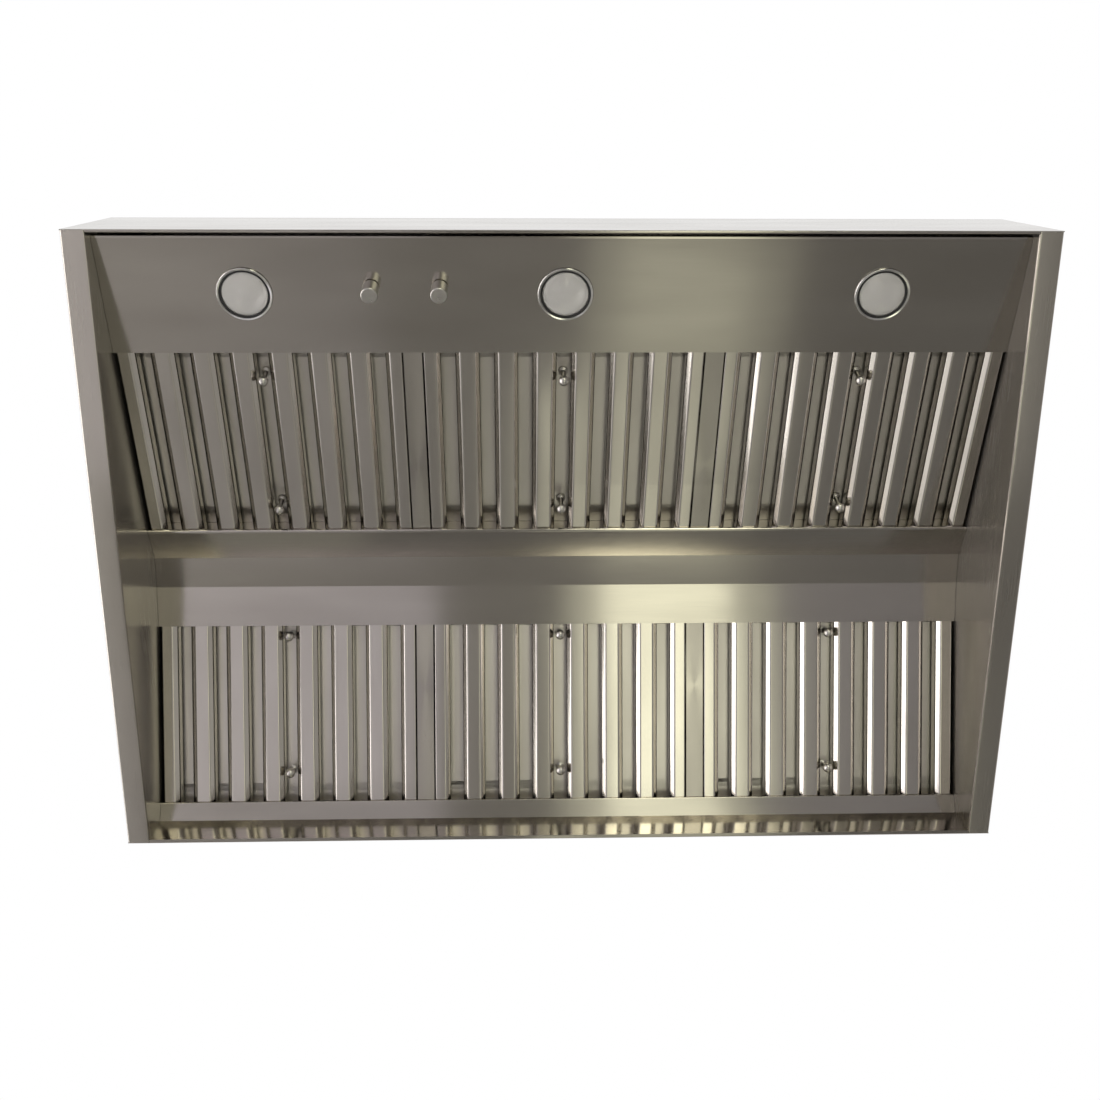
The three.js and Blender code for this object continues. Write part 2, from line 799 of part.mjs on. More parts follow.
// ---- assembly ----------------------------------------------------------------------------
const hood = new THREE.Group();
hood.add(
  frontPanel(),
  backPanel(),
  sidePanel('left_side_panel', true),
  sidePanel('right_side_panel', false),
  topPanel(),
  centreRidge(),
  rearFilterRail(),
);

const frontBed = bay(panelRear, panelRearLift, frontTilt);
const rearBed = bay(ridgeRear, ridgeRearLift, -rearTilt);
hood.add(frontBed, rearBed);
frontBed.add(controlPanel(), frontFilterRail());

const sides = ['left', 'centre', 'right'];
across(filtersPerRow).forEach((i, k) => {
  const x = i * filterPitch;
  frontBed.add(filter(`front_${sides[k]}`, x, -frontLowerBearing, 1));
  rearBed.add(filter(`rear_${sides[k]}`, x, rearBay + rearLowerBearing, -1));
});

across(filtersPerRow - 1).forEach((i, k) => {
  const x = i * filterPitch;
  const side = k === 0 ? 'left' : 'right';
  frontBed.add(divider(`front_${side}_divider`, x, -frontLowerBearing, frontBay + frontUpperBearing / 2));
  rearBed.add(divider(`rear_${side}_divider`, x, -rearUpperBearing / 2, rearBay + rearLowerBearing));
});

const bezel = lampBezel();
const lens = lampLens();
const can = lampCan();
lampPlaces().forEach((x, k) => {
  const lamp = new THREE.Group();
  lamp.position.set(x, -lampFromEdge, 0);
  lamp.add(
    node(`${sides[k]}_lamp_bezel`, bezel, finish.polished),
    node(`${sides[k]}_lamp_lens`, lens, finish.lens),
    node(`${sides[k]}_lamp_can`, can, finish.galvanised),
  );
  frontBed.add(lamp);
});

knobPlaces().forEach((x, k) => {
  const name = k === 0 ? 'light' : 'fan';
  const control = new THREE.Group();
  control.position.set(x, -knobFromEdge, 0);
  control.add(
    node(`${name}_knob`, controlKnob(), finish.polished),
    node(`${name}_switch`, rotarySwitch(), finish.nylon),
  );
  frontBed.add(control);
});

const blower = new THREE.Group();
blower.position.set(0, blowerBack, bodyHeight);
const wheel = node('blower_wheel', blowerWheel(), finish.galvanised);
wheel.position.z = axleLift;
const scroll = node('blower_scroll', blowerScroll(), finish.galvanised);
scroll.position.z = axleLift;
blower.add(
  node('blower_box', blowerBox(), finish.brushed),
  scroll,
  wheel,
  node('blower_motor', blowerMotor(), finish.cast),
  node('motor_bracket', motorBracket(), finish.galvanised),
);

const collar = new THREE.Group();
collar.position.z = boxHeight;
collar.add(node('duct_collar', ductCollar(), finish.galvanised));
for (const [name, side] of [['front_damper_flap', -1], ['back_damper_flap', 1]]) {
  const flap = node(name, damperFlap(side), finish.galvanised);
  flap.position.z = rodHeight;
  collar.add(flap);
}
blower.add(collar);
hood.add(blower);

const junction = new THREE.Group();
junction.position.set(boxHalfWidth + boxFlange + junctionAway + junctionWidth / 2, blowerBack, bodyHeight);
junction.add(
  node('junction_box', junctionBox(), finish.galvanised),
  node('junction_box_lid', junctionLid(), finish.galvanised),
);
hood.add(junction);

export default hood;
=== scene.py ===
import json
from math import asin, cos, pi, radians, sin

import bmesh
import bpy
from mathutils import Matrix, Vector


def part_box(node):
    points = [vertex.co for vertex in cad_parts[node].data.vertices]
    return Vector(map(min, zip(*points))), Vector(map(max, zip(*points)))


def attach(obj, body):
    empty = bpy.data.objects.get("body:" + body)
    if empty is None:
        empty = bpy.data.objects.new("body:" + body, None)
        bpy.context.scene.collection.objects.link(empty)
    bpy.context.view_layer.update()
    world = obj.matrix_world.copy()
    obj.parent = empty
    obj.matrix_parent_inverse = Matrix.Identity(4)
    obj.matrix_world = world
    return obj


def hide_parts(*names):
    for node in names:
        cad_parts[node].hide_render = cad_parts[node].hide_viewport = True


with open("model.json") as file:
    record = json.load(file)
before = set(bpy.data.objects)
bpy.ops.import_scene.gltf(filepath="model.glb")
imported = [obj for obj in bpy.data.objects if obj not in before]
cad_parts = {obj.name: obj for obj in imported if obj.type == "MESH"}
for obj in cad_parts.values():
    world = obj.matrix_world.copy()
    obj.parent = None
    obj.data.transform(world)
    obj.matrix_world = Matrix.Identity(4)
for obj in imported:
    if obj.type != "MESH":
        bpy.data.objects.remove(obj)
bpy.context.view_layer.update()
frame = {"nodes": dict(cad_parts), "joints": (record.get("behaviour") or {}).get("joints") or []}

# ---- camera -------------------------------------------------------------------
# The photograph looks up into the hood from the cook's side, with a short normal
# lens held level with the hood's width.
mm = 0.001
camera_data = bpy.data.cameras.new("camera")
camera_data.sensor_width = 36
camera_data.lens = 41.89
camera = bpy.data.objects.new("camera", camera_data)
camera_place = Vector((-67.15, -536.3, -1591.2)) * mm
camera_right = Vector((0.99958, -0.00396, -0.02865))
camera_up = Vector((0.00522, -0.9497, 0.31313))
camera_axes = Matrix((camera_right, camera_up, camera_right.cross(camera_up))).transposed()
camera.matrix_world = Matrix.Translation(camera_place) @ camera_axes.to_4x4()
bpy.context.scene.collection.objects.link(camera)
bpy.context.scene.camera = camera

# ---- body shell ---------------------------------------------------------------
# Front, back, sides and deck are 1.2 mm austenitic stainless sheet, cut, folded
# and spot-welded. The sheet is belt-brushed, with its grain along each panel.


def linear(colour):
    """An sRGB hex colour as linear RGBA."""
    parts = [int(colour[i:i + 2], 16) / 255 for i in (1, 3, 5)]
    return [c / 12.92 if c <= 0.04045 else ((c + 0.055) / 1.055) ** 2.4 for c in parts] + [1]


def add(tree, kind, settings=None, links=None):
    """A new node, with its properties or input values set and its inputs linked."""
    node = tree.nodes.new(kind)
    for name, value in (settings or {}).items():
        if isinstance(name, str) and hasattr(node, name):
            setattr(node, name, value)
        else:
            node.inputs[name].default_value = value
    for name, socket in (links or {}).items():
        tree.links.new(socket, node.inputs[name])
    return node


def new_material(name, colour, metallic, roughness):
    """A named material with its Principled shader's plain values set."""
    material = bpy.data.materials.new(name)
    material.use_nodes = True
    shader = material.node_tree.nodes["Principled BSDF"]
    shader.inputs["Base Color"].default_value = linear(colour)
    shader.inputs["Metallic"].default_value = metallic
    shader.inputs["Roughness"].default_value = roughness
    return material, material.node_tree, shader


def pattern(tree, size, detail=2.0):
    """Noise whose features have that size in metres along X, Y and Z."""
    place = add(tree, "ShaderNodeTexCoord").outputs["Object"]
    scale = tuple(1 / s for s in size)
    spread = add(tree, "ShaderNodeMapping", {"Scale": scale}, {"Vector": place})
    return add(tree, "ShaderNodeTexNoise", {"Scale": 1.0, "Detail": detail},
               {"Vector": spread.outputs["Vector"]}).outputs["Fac"]


def rescale(tree, value, low, high):
    """Noise mapped so that its usual spread runs from low to high."""
    return add(tree, "ShaderNodeMapRange", {"From Min": 0.3, "From Max": 0.7, "To Min": low, "To Max": high},
               {"Value": value}).outputs["Result"]


def blend_colours(tree, factor, first, second):
    """A colour between two hex colours."""
    return add(tree, "ShaderNodeMix", {"data_type": "RGBA", 6: linear(first), 7: linear(second)},
               {0: factor}).outputs[2]


def brushed_steel(name, light, dark, roughness, grain_axis, tangent, stretch):
    """Belt-brushed stainless: the scratches run one way, so reflections smear across them."""
    material, tree, shader = new_material(name, light, 1.0, roughness)
    # real scratches lie about 0.1 mm apart; 0.7 mm is as fine as the picture can show
    scratch_gap = 0.7 * mm
    scratch_length = 90 * mm
    grain = pattern(tree, [scratch_length if axis == grain_axis else scratch_gap for axis in "XYZ"], 3.0)
    # faint clouds where the belt pressed a little harder
    cloud_width = 70 * mm
    cloud_length = 260 * mm
    cloud = pattern(tree, [cloud_length if axis == grain_axis else cloud_width for axis in "XYZ"])
    colour = blend_colours(tree, rescale(tree, cloud, 0, 1), light, dark)
    tree.links.new(colour, shader.inputs["Base Color"])
    grain_spread = 0.03
    cloud_spread = 0.02
    rough = add(tree, "ShaderNodeMath", {"operation": "ADD"},
                {0: rescale(tree, grain, roughness - grain_spread, roughness + grain_spread),
                 1: rescale(tree, cloud, -cloud_spread, cloud_spread)})
    tree.links.new(rough.outputs[0], shader.inputs["Roughness"])
    scratches = add(tree, "ShaderNodeBump", {"Strength": 0.05, "Distance": 0.05 * mm}, {"Height": grain})
    tree.links.new(scratches.outputs["Normal"], shader.inputs["Normal"])
    shader.inputs["Anisotropic"].default_value = stretch
    smear = add(tree, "ShaderNodeTangent", tangent)
    tree.links.new(smear.outputs["Tangent"], shader.inputs["Tangent"])
    return material


def dress(node, material):
    """A CAD node keeps its shape and takes this material."""
    for slot in frame["nodes"][node].material_slots:
        slot.material = material


shell_light = "#b7b2ab"
shell_dark = "#aca7a0"
wide_sheet = brushed_steel("brushed_stainless_along_width", shell_light, shell_dark, 0.14, "X",
                           {"direction_type": "RADIAL", "axis": "X"}, 0.4)
deep_sheet = brushed_steel("brushed_stainless_along_depth", shell_light, shell_dark, 0.24, "Y",
                           {"direction_type": "RADIAL", "axis": "Y"}, 0.85)


def place_piece(name, data, matrix, material, body, replaced=()):
    """A copy of the mesh put in its place, riding on its body."""
    data = data.copy()
    data.transform(matrix)
    data.materials.clear()
    data.materials.append(material)
    piece = bpy.data.objects.new(name, data)
    bpy.context.scene.collection.objects.link(piece)
    piece.modifiers.new("flat_faces", "WEIGHTED_NORMAL").keep_sharp = True
    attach(piece, body)
    if replaced:
        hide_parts(*replaced)
    return piece


smooth_below = radians(35)


def finish_mesh(mesh, name, smooth=smooth_below):
    """The bmesh as a mesh, its faces out and its curves smooth."""
    bmesh.ops.remove_doubles(mesh, verts=mesh.verts, dist=0.001 * mm)
    bmesh.ops.recalc_face_normals(mesh, faces=mesh.faces)
    data = bpy.data.meshes.new(name)
    mesh.to_mesh(data)
    mesh.free()
    data.shade_smooth()
    data.set_sharp_from_angle(angle=smooth)
    return data


def worked_copy(node):
    """A CAD node's mesh as one closed skin of flat faces."""
    mesh = bmesh.new()
    mesh.from_mesh(frame["nodes"][node].data)
    bmesh.ops.remove_doubles(mesh, verts=mesh.verts, dist=0.005 * mm)
    bmesh.ops.dissolve_limit(mesh, angle_limit=radians(0.5), verts=mesh.verts, edges=mesh.edges)
    return mesh


def bent_sheet(node, material, bend=1.8 * mm):
    """The node's sheet with its long folds given the radius a press brake leaves."""
    mesh = worked_copy(node)
    # a fold is long, turns the sheet, and has a wider face on each side than the sheet's cut edge
    least_length = 100 * mm
    least_turn = radians(4)
    least_width = 2.5 * mm
    folds = []
    for edge in mesh.edges:
        length = edge.calc_length()
        if len(edge.link_faces) == 2 and length > least_length and edge.calc_face_angle() > least_turn:
            if min(face.calc_area() for face in edge.link_faces) / length > least_width:
                folds.append(edge)
    bmesh.ops.bevel(mesh, geom=folds, offset=bend, segments=4, profile=0.5, affect="EDGES", material=-1,
                    clamp_overlap=True)
    place_piece(f"{node}_sheet", finish_mesh(mesh, node), Matrix(), material, "housing", [node])


for node in ("front_panel", "back_panel", "centre_ridge", "control_panel"):
    bent_sheet(node, wide_sheet)
bent_sheet("rear_filter_rail", wide_sheet, 1 * mm)
for node in ("left_side_panel", "right_side_panel"):
    bent_sheet(node, deep_sheet)
dress("top_panel", wide_sheet)

# ---- rails and dividers ---------------------------------------------------------
# The front rail is galvanised angle behind the control panel. The dividers are
# folded tees of the same stainless as the shell, spot-welded at both ends.


def galvanised_steel(name):
    """Hot-dip zinc: matt grey crystals, each a little lighter or darker than the next."""
    material, tree, shader = new_material(name, "#a3a8ab", 1.0, 0.42)
    place = add(tree, "ShaderNodeTexCoord").outputs["Object"]
    # the crystals, called spangle, are about 9 mm across
    spangle_size = 9 * mm
    spangle = add(tree, "ShaderNodeTexVoronoi", {"Scale": 1 / spangle_size, "Randomness": 1.0},
                  {"Vector": place})
    shade = add(tree, "ShaderNodeSeparateColor", {}, {"Color": spangle.outputs["Color"]}).outputs["Red"]
    tree.links.new(blend_colours(tree, shade, "#949a9e", "#b1b5b7"), shader.inputs["Base Color"])
    rough = add(tree, "ShaderNodeMapRange", {"To Min": 0.36, "To Max": 0.5}, {"Value": shade})
    tree.links.new(rough.outputs["Result"], shader.inputs["Roughness"])
    dip = add(tree, "ShaderNodeBump", {"Strength": 0.15, "Distance": 0.1 * mm},
              {"Height": pattern(tree, (6 * mm, 6 * mm, 6 * mm))})
    tree.links.new(dip.outputs["Normal"], shader.inputs["Normal"])
    return material


zinc = galvanised_steel("galvanised_sheet")
dress("front_filter_rail", zinc)
for row in ("front", "rear"):
    for side in ("left", "right"):
        dress(f"{row}_{side}_divider", deep_sheet)

# ---- baffle filters -------------------------------------------------------------
# Six alike. Eight ridge channels of 0.8 mm bright stainless are welded between two
# end rails, and seven baffle channels face them from behind, held by two tie bars.
slot_count = 7
slot_width = 18.6 * mm
ridge_width = 31.8 * mm
edge_ridge_width = 22 * mm
ridge_flange = 22 * mm
flank_width = 6.5 * mm
flank_depth = 6 * mm
ridge_fold = 1.6 * mm
filter_sheet = 0.8 * mm
filter_length = 287.5 * mm
filter_depth = 34 * mm
slot_pitch = slot_width + ridge_width
filter_width = 2 * edge_ridge_width + slot_count * slot_width + (slot_count - 1) * ridge_width
front_slope = radians(16)
rear_slope = radians(16)


def folded_sheet(mesh, corners, run, sheet, radius, facets=5):
    """Sheet folded along its corners and run out square to them; the corner line is its seen side."""
    earlier = set(mesh.faces)
    line = [mesh.verts.new(corner) for corner in corners]
    edges = [mesh.edges.new(pair) for pair in zip(line, line[1:])]
    swept = bmesh.ops.extrude_edge_only(mesh, edges=edges)["geom"]
    ends = [item for item in swept if isinstance(item, bmesh.types.BMVert)]
    bmesh.ops.translate(mesh, vec=run, verts=ends)
    folds = [edge for edge in mesh.edges if len(edge.link_faces) == 2 and edge.link_faces[0] not in earlier]
    bmesh.ops.bevel(mesh, geom=folds, offset=radius, segments=facets, profile=0.5, affect="EDGES",
                    material=-1)
    faces = [face for face in mesh.faces if face not in earlier]
    bmesh.ops.solidify(mesh, geom=faces, thickness=sheet)


def unwrap_across(data):
    """A UV map whose U runs across the sheet's grain, which lies along Y."""
    layer = data.uv_layers.new(name="across_grain")
    for face in data.polygons:
        upright = abs(face.normal.x) > 0.7
        for loop in face.loop_indices:
            x, y, z = data.vertices[data.loops[loop].vertex_index].co
            layer.data[loop].uv = (z if upright else x, y)


def ridge_side(x, inward, flange):
    """One side's corners from flange to face; beside a slot, the sheet slopes in a narrow flank."""
    if flange == ridge_flange:
        return [(x, 0, flange), (x, 0, flank_depth), (x + inward * flank_width, 0, 0)]
    return [(x, 0, flange), (x, 0, 0)]


def ridge(mesh, x0, x1, left_flange, right_flange):
    """A ridge channel between two x, with how far back each flange reaches."""
    corners = ridge_side(x0, 1, left_flange) + ridge_side(x1, -1, right_flange)[::-1]
    folded_sheet(mesh, corners, (0, filter_length, 0), filter_sheet, ridge_fold, 4)


def filter_frame():
    """The welded frame: ridge channels between two folded end rails, its seen side at z = 0."""
    mesh = bmesh.new()
    half = filter_width / 2
    ridge(mesh, -half, -half + edge_ridge_width, filter_depth, ridge_flange)
    ridge(mesh, half - edge_ridge_width, half, ridge_flange, filter_depth)
    for i in range(slot_count - 1):
        middle = (i - (slot_count - 2) / 2) * slot_pitch
        ridge(mesh, middle - ridge_width / 2, middle + ridge_width / 2, ridge_flange, ridge_flange)
    rail_width = 7 * mm
    rail_fold = 1 * mm
    inset = 0.1 * mm
    for outer, inward in ((0, 1), (filter_length, -1)):
        inner = outer + inward * rail_width
        corners = [(-half + inset, inner, filter_depth - inset), (-half + inset, outer, filter_depth - inset),
                   (-half + inset, outer, inset), (-half + inset, inner, inset)]
        folded_sheet(mesh, corners, (filter_width - 2 * inset, 0, 0), filter_sheet, rail_fold)
    data = finish_mesh(mesh, "filter_frame")
    unwrap_across(data)
    return data


def filter_baffles():
    """The channels behind the slots, with two flat tie bars across their backs."""
    mesh = bmesh.new()
    half = 18.5 * mm
    back = 28.8 * mm
    flange = 16 * mm
    clear = 1.1 * mm
    channel_fold = 2.4 * mm
    for i in range(slot_count):
        middle = (i - (slot_count - 1) / 2) * slot_pitch
        corners = [(middle - half, clear, back - flange), (middle - half, clear, back),
                   (middle + half, clear, back), (middle + half, clear, back - flange)]
        folded_sheet(mesh, corners, (0, filter_length - 2 * clear, 0), filter_sheet, channel_fold, 3)
    reach = (slot_count - 1) / 2 * slot_pitch + half
    bar_inset = 22 * mm
    bar_width = 12 * mm
    bar_sheet = 1.2 * mm
    for y in (bar_inset, filter_length - bar_inset):
        bar = bmesh.ops.create_cube(mesh, size=1)["verts"]
        bmesh.ops.scale(mesh, vec=(2 * reach, bar_width, bar_sheet), verts=bar)
        bmesh.ops.translate(mesh, vec=(0, y, back + bar_sheet / 2), verts=bar)
    data = finish_mesh(mesh, "filter_baffles")
    unwrap_across(data)
    return data


def arc(centre, radius, start, end, steps):
    """Points on an arc in the XZ plane, from one angle to another."""
    angles = [start + (end - start) * i / steps for i in range(steps + 1)]
    return [(centre[0] + radius * cos(a), 0, centre[1] + radius * sin(a)) for a in angles]


def turned(name, outline, steps=48, closed=False):
    """A lathe-turned piece about Z from its outline in the XZ plane."""
    mesh = bmesh.new()
    line = [mesh.verts.new(point) for point in outline]
    pairs = list(zip(line, line[1:])) + ([(line[-1], line[0])] if closed else [])
    edges = [mesh.edges.new(pair) for pair in pairs]
    bmesh.ops.spin(mesh, geom=line + edges, cent=(0, 0, 0), axis=(0, 0, 1), angle=2 * pi,
                   steps=steps, use_merge=True)
    return finish_mesh(mesh, name)


def filter_knob():
    """A turned ball on a stem, whose spread foot stands on the baffle channel behind the slot."""
    radius = 7 * mm
    stem = 3 * mm
    flare = 4.5 * mm
    foot_radius = 6.5 * mm
    foot = 27.7 * mm
    neck = asin(stem / radius)
    ball = arc((0, -1 * mm), radius, -pi / 2, pi / 2 - neck, 14)
    ball[0] = (0, 0, -8 * mm)
    outline = ball + [(stem, 0, foot - 3 * mm), (flare, 0, foot - 2 * mm), (foot_radius, 0, foot - 1.6 * mm),
                      (foot_radius, 0, foot), (0, 0, foot)]
    return turned("filter_knob", outline, 24)


def polished_steel(name, colour, roughness):
    """Turned and polished stainless: near-mirror, with a faint haze of fine wiping scratches."""
    material, tree, shader = new_material(name, colour, 1.0, roughness)
    haze = pattern(tree, (9 * mm, 9 * mm, 9 * mm), 4.0)
    tree.links.new(rescale(tree, haze, roughness - 0.03, roughness + 0.05), shader.inputs["Roughness"])
    return material


across_grain = {"direction_type": "UV_MAP", "uv_map": "across_grain"}
filter_sheet_steel = brushed_steel("bright_stainless_filter_sheet", "#c4bfb8", "#b9b4ad", 0.15, "Y",
                                   across_grain, 0.2)
baffle_sheet_steel = brushed_steel("bright_stainless_baffle_sheet", "#d3cec7", "#c8c3bc", 0.34, "Y",
                                   across_grain, 0.2)
polished = polished_steel("polished_stainless", "#d6d5d2", 0.12)
# the knobs are turned but not buffed, so they blur what they mirror
satin = polished_steel("satin_turned_stainless", "#bdbab5", 0.3)
frame_mesh = filter_frame()
baffles_mesh = filter_baffles()
knob_mesh = filter_knob()
lower_knob = 48.5 * mm
upper_knob = filter_length - 40 * mm

for row, slope in (("front", front_slope), ("rear", rear_slope)):
    for column in ("left", "centre", "right"):
        name = f"{row}_{column}_filter"
        low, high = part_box(f"{name}_frame")
        # a filter's own origin is the seen edge of its lower end; the rear row faces about
        if row == "front":
            corner = Vector(((low.x + high.x) / 2, low.y + filter_depth * sin(slope), low.z))
            matrix = Matrix.Translation(corner) @ Matrix.Rotation(slope, 4, "X")
        else:
            corner = Vector(((low.x + high.x) / 2, high.y - filter_depth * sin(slope), low.z))
            matrix = Matrix.Translation(corner) @ Matrix.Rotation(-slope, 4, "X")
            matrix = matrix @ Matrix.Rotation(pi, 4, "Z")
        place_piece(f"{name}_frame_sheet", frame_mesh, matrix, filter_sheet_steel, name,
                    [f"{name}_frame"])
        place_piece(f"{name}_baffle_channels", baffles_mesh, matrix, baffle_sheet_steel, name,
                    [f"{name}_baffles"])
        for end, along in (("lower", lower_knob), ("upper", upper_knob)):
            spot = matrix @ Matrix.Translation((0, along, 0))
            place_piece(f"{name}_{end}_ball_knob", knob_mesh, spot, satin, name,
                        [f"{name}_{end}_knob"])

# ---- lamps ----------------------------------------------------------------------
# Three recessed lamps: a polished ring, a black gasket in its groove, a faintly
# frosted glass, and close behind it a pressed reflector with a domed middle.


def frosted_glass(name):
    """Pressed soda-lime glass, etched inside: it softens the bright reflector behind it."""
    material, tree, shader = new_material(name, "#f5f3f1", 0.0, 0.14)
    shader.inputs["Transmission Weight"].default_value = 0.58
    shader.inputs["IOR"].default_value = 1.5
    etch = add(tree, "ShaderNodeBump", {"Strength": 0.25, "Distance": 0.2 * mm},
               {"Height": pattern(tree, (1.6 * mm, 1.6 * mm, 1.6 * mm), 3.0)})
    tree.links.new(etch.outputs["Normal"], shader.inputs["Normal"])
    return material


def section(*points):
    """Part of a turned outline, from pairs of radius and height in millimetres."""
    return [(radius * mm, 0, height * mm) for radius, height in points]


def lamp_ring():
    """A turned ring: a rounded lip on the panel, a groove inside it, and a tube up into the can."""
    outline = section((28.9, 9), (28.9, -0.6), (31.5, -0.6), (32.1, -2.1))
    outline += arc((34.1 * mm, -1.6 * mm), 1 * mm, radians(-125), radians(0), 6)
    outline += section((35.5, -0.3), (30.4, -0.3), (30.4, 9))
    return turned("lamp_ring", outline, 72, closed=True)


def lamp_gasket():
    """A moulded strip that fills the ring's groove with a low crown."""
    outline = section((28.95, -0.6), (29.1, -1), (30.2, -1.25), (31.3, -1), (31.45, -0.6))
    return turned("lamp_gasket", outline, 72, closed=True)


def lamp_glass():
    """A glass whose two faces bulge down a little, with a thick rim."""
    centre = (0, 238 * mm)
    down = radians(-90)
    outline = section((0, -2.1))
    outline += arc(centre, 240.1 * mm, down, down + asin(27.6 / 240.1), 8)[1:]
    outline += section((28.6, 0.2), (28.6, 3.4), (26, 3.4))
    outline += arc(centre, 237.4 * mm, down + asin(24 / 237.4), down, 8)
    outline[-1] = (0, 0, 0.6 * mm)
    return turned("lamp_glass", outline, 64)


def lamp_reflector():
    """Spun from one disc: a low dome in the middle, a valley round it and a bowl out to the rim."""
    sheet = 0.5 * mm
    dome = section((0, 4.2), (4, 4.5), (8, 5.8), (11, 8), (13.6, 10.4), (15.6, 11.8))
    bowl = section((17.4, 12.1), (19.4, 11), (22, 8.8), (25, 6.4), (27.8, 5))
    under = dome + bowl
    over = [(x, 0, z + sheet) for x, _, z in reversed(under)]
    return turned("lamp_reflector", under + over, 48)


glass = frosted_glass("frosted_lamp_glass")
reflector_metal = polished_steel("spun_aluminium_reflector", "#e6e7e6", 0.18)
# moulded nylon is a dull black with a fine grain from its mould
nylon, nylon_tree, nylon_shader = new_material("moulded_black_nylon", "#1d1d1e", 0.0, 0.5)
moulded = add(nylon_tree, "ShaderNodeBump", {"Strength": 0.2, "Distance": 0.1 * mm},
              {"Height": pattern(nylon_tree, (0.8 * mm, 0.8 * mm, 0.8 * mm))})
nylon_tree.links.new(moulded.outputs["Normal"], nylon_shader.inputs["Normal"])
ring_mesh = lamp_ring()
gasket_mesh = lamp_gasket()
glass_mesh = lamp_glass()
reflector_mesh = lamp_reflector()
panel_turn = Matrix.Rotation(front_slope, 4, "X")
# a lamp's own origin lies this far below the middle of the lens, square to the panel
lens_drop = 0.1 * mm
for column in ("left", "centre", "right"):
    low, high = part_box(f"{column}_lamp_lens")
    middle = (low + high) / 2 - panel_turn @ Vector((0, 0, lens_drop))
    matrix = Matrix.Translation(middle) @ panel_turn
    place_piece(f"{column}_lamp_ring", ring_mesh, matrix, polished, "housing",
                [f"{column}_lamp_bezel"])
    place_piece(f"{column}_lamp_glass", glass_mesh, matrix, glass, "housing",
                [f"{column}_lamp_lens"])
    place_piece(f"{column}_lamp_reflector", reflector_mesh, matrix, reflector_metal, "housing")
    place_piece(f"{column}_lamp_gasket", gasket_mesh, matrix, nylon, "housing")
    dress(f"{column}_lamp_can", zinc)

# ---- control knobs --------------------------------------------------------------
# Two solid turned stainless knobs, satin, on the shafts of rotary switches of
# black nylon behind the panel.


def control_knob():
    """A plain cylinder with an eased face, and the shaft that it is pushed on."""
    radius = 10.6 * mm
    face = -27.8 * mm
    foot = -1.8 * mm
    face_ease = 1.6 * mm
    foot_ease = 0.6 * mm
    shaft_radius = 3 * mm
    shaft_end = 14 * mm
    outline = [(0, 0, face)]
    outline += arc((radius - face_ease, face + face_ease), face_ease, radians(-90), radians(0), 6)
    outline += [(radius, 0, foot - foot_ease), (radius - foot_ease, 0, foot), (shaft_radius, 0, foot),
                (shaft_radius, 0, shaft_end), (0, 0, shaft_end)]
    return turned("control_knob", outline, 48)


control_mesh = control_knob()
joints = {joint["name"]: joint for joint in frame["joints"]}
for name in ("light", "fan"):
    place = Vector(joints[f"{name}_knob_turn"]["pos_m"])
    matrix = Matrix.Translation(place) @ panel_turn
    place_piece(f"{name}_control_knob", control_mesh, matrix, satin, f"{name}_knob",
                [f"{name}_knob"])
    dress(f"{name}_switch", nylon)

# ---- blower ---------------------------------------------------------------------
# Inside the box on the deck: a galvanised scroll and wheel, and a cast motor on a
# galvanised bracket. The damper's two flaps in the collar are galvanised sheet too.
cast, cast_tree, cast_shader = new_material("sand_cast_aluminium", "#8d9092", 1.0, 0.5)
# the sand's grains leave a dull, pitted skin
sand = add(cast_tree, "ShaderNodeBump", {"Strength": 0.4, "Distance": 0.3 * mm},
           {"Height": pattern(cast_tree, (1.2 * mm, 1.2 * mm, 1.2 * mm), 4.0)})
cast_tree.links.new(sand.outputs["Normal"], cast_shader.inputs["Normal"])
dress("blower_motor", cast)
for node in ("blower_scroll", "blower_wheel", "motor_bracket", "front_damper_flap", "back_damper_flap"):
    dress(node, zinc)

# ---- blower box -----------------------------------------------------------------
# Brushed sheet folded into a box over the deck's inlet. Its sides are cross-broken:
# a shallow X is pressed into each so that the flat sheet doesn't drum.
shell_sheet = 1.2 * mm
box_flange = 16 * mm
box_mesh = worked_copy("blower_box")
box_low, box_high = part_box("blower_box")
box_middle = (box_low + box_high) / 2
# the folded corners are the long upright edges that lie farthest out
corner_reach = (box_high.x - box_low.x + box_high.y - box_low.y) / 2 - 2 * box_flange
least_upright = 100 * mm
upright_edges = []
for edge in box_mesh.edges:
    first, last = edge.verts
    reach = abs(first.co.x - box_middle.x) + abs(first.co.y - box_middle.y)
    if abs(first.co.z - last.co.z) > least_upright and reach > corner_reach - 0.1 * mm:
        upright_edges.append(edge)
bmesh.ops.bevel(box_mesh, geom=upright_edges, offset=2.4 * mm, segments=4, profile=0.5, affect="EDGES",
                material=-1)
box_mesh.faces.ensure_lookup_table()
# the sides are the large upright faces that look outwards; the area is in square metres
least_side = 0.05
broken = []
for face in box_mesh.faces:
    middle = face.calc_center_median()
    outward = face.normal.x * (middle.x - box_middle.x) + face.normal.y * (middle.y - box_middle.y)
    upright = abs(face.normal.z) < 0.1
    if face.calc_area() > least_side and upright and outward > 0 and len(face.verts) == 4:
        broken.append(face)
break_margin = 14 * mm
break_height = 1.6 * mm
bmesh.ops.inset_individual(box_mesh, faces=broken, thickness=break_margin, depth=0)
bmesh.ops.poke(box_mesh, faces=broken, offset=break_height)
upright_sheet = brushed_steel("brushed_stainless_upright", shell_light, shell_dark, 0.27, "Z",
                              {"direction_type": "RADIAL", "axis": "Z"}, 0.5)
place_piece("blower_box_sheet", finish_mesh(box_mesh, "blower_box", radians(25)), Matrix(), upright_sheet,
            "housing", ["blower_box"])

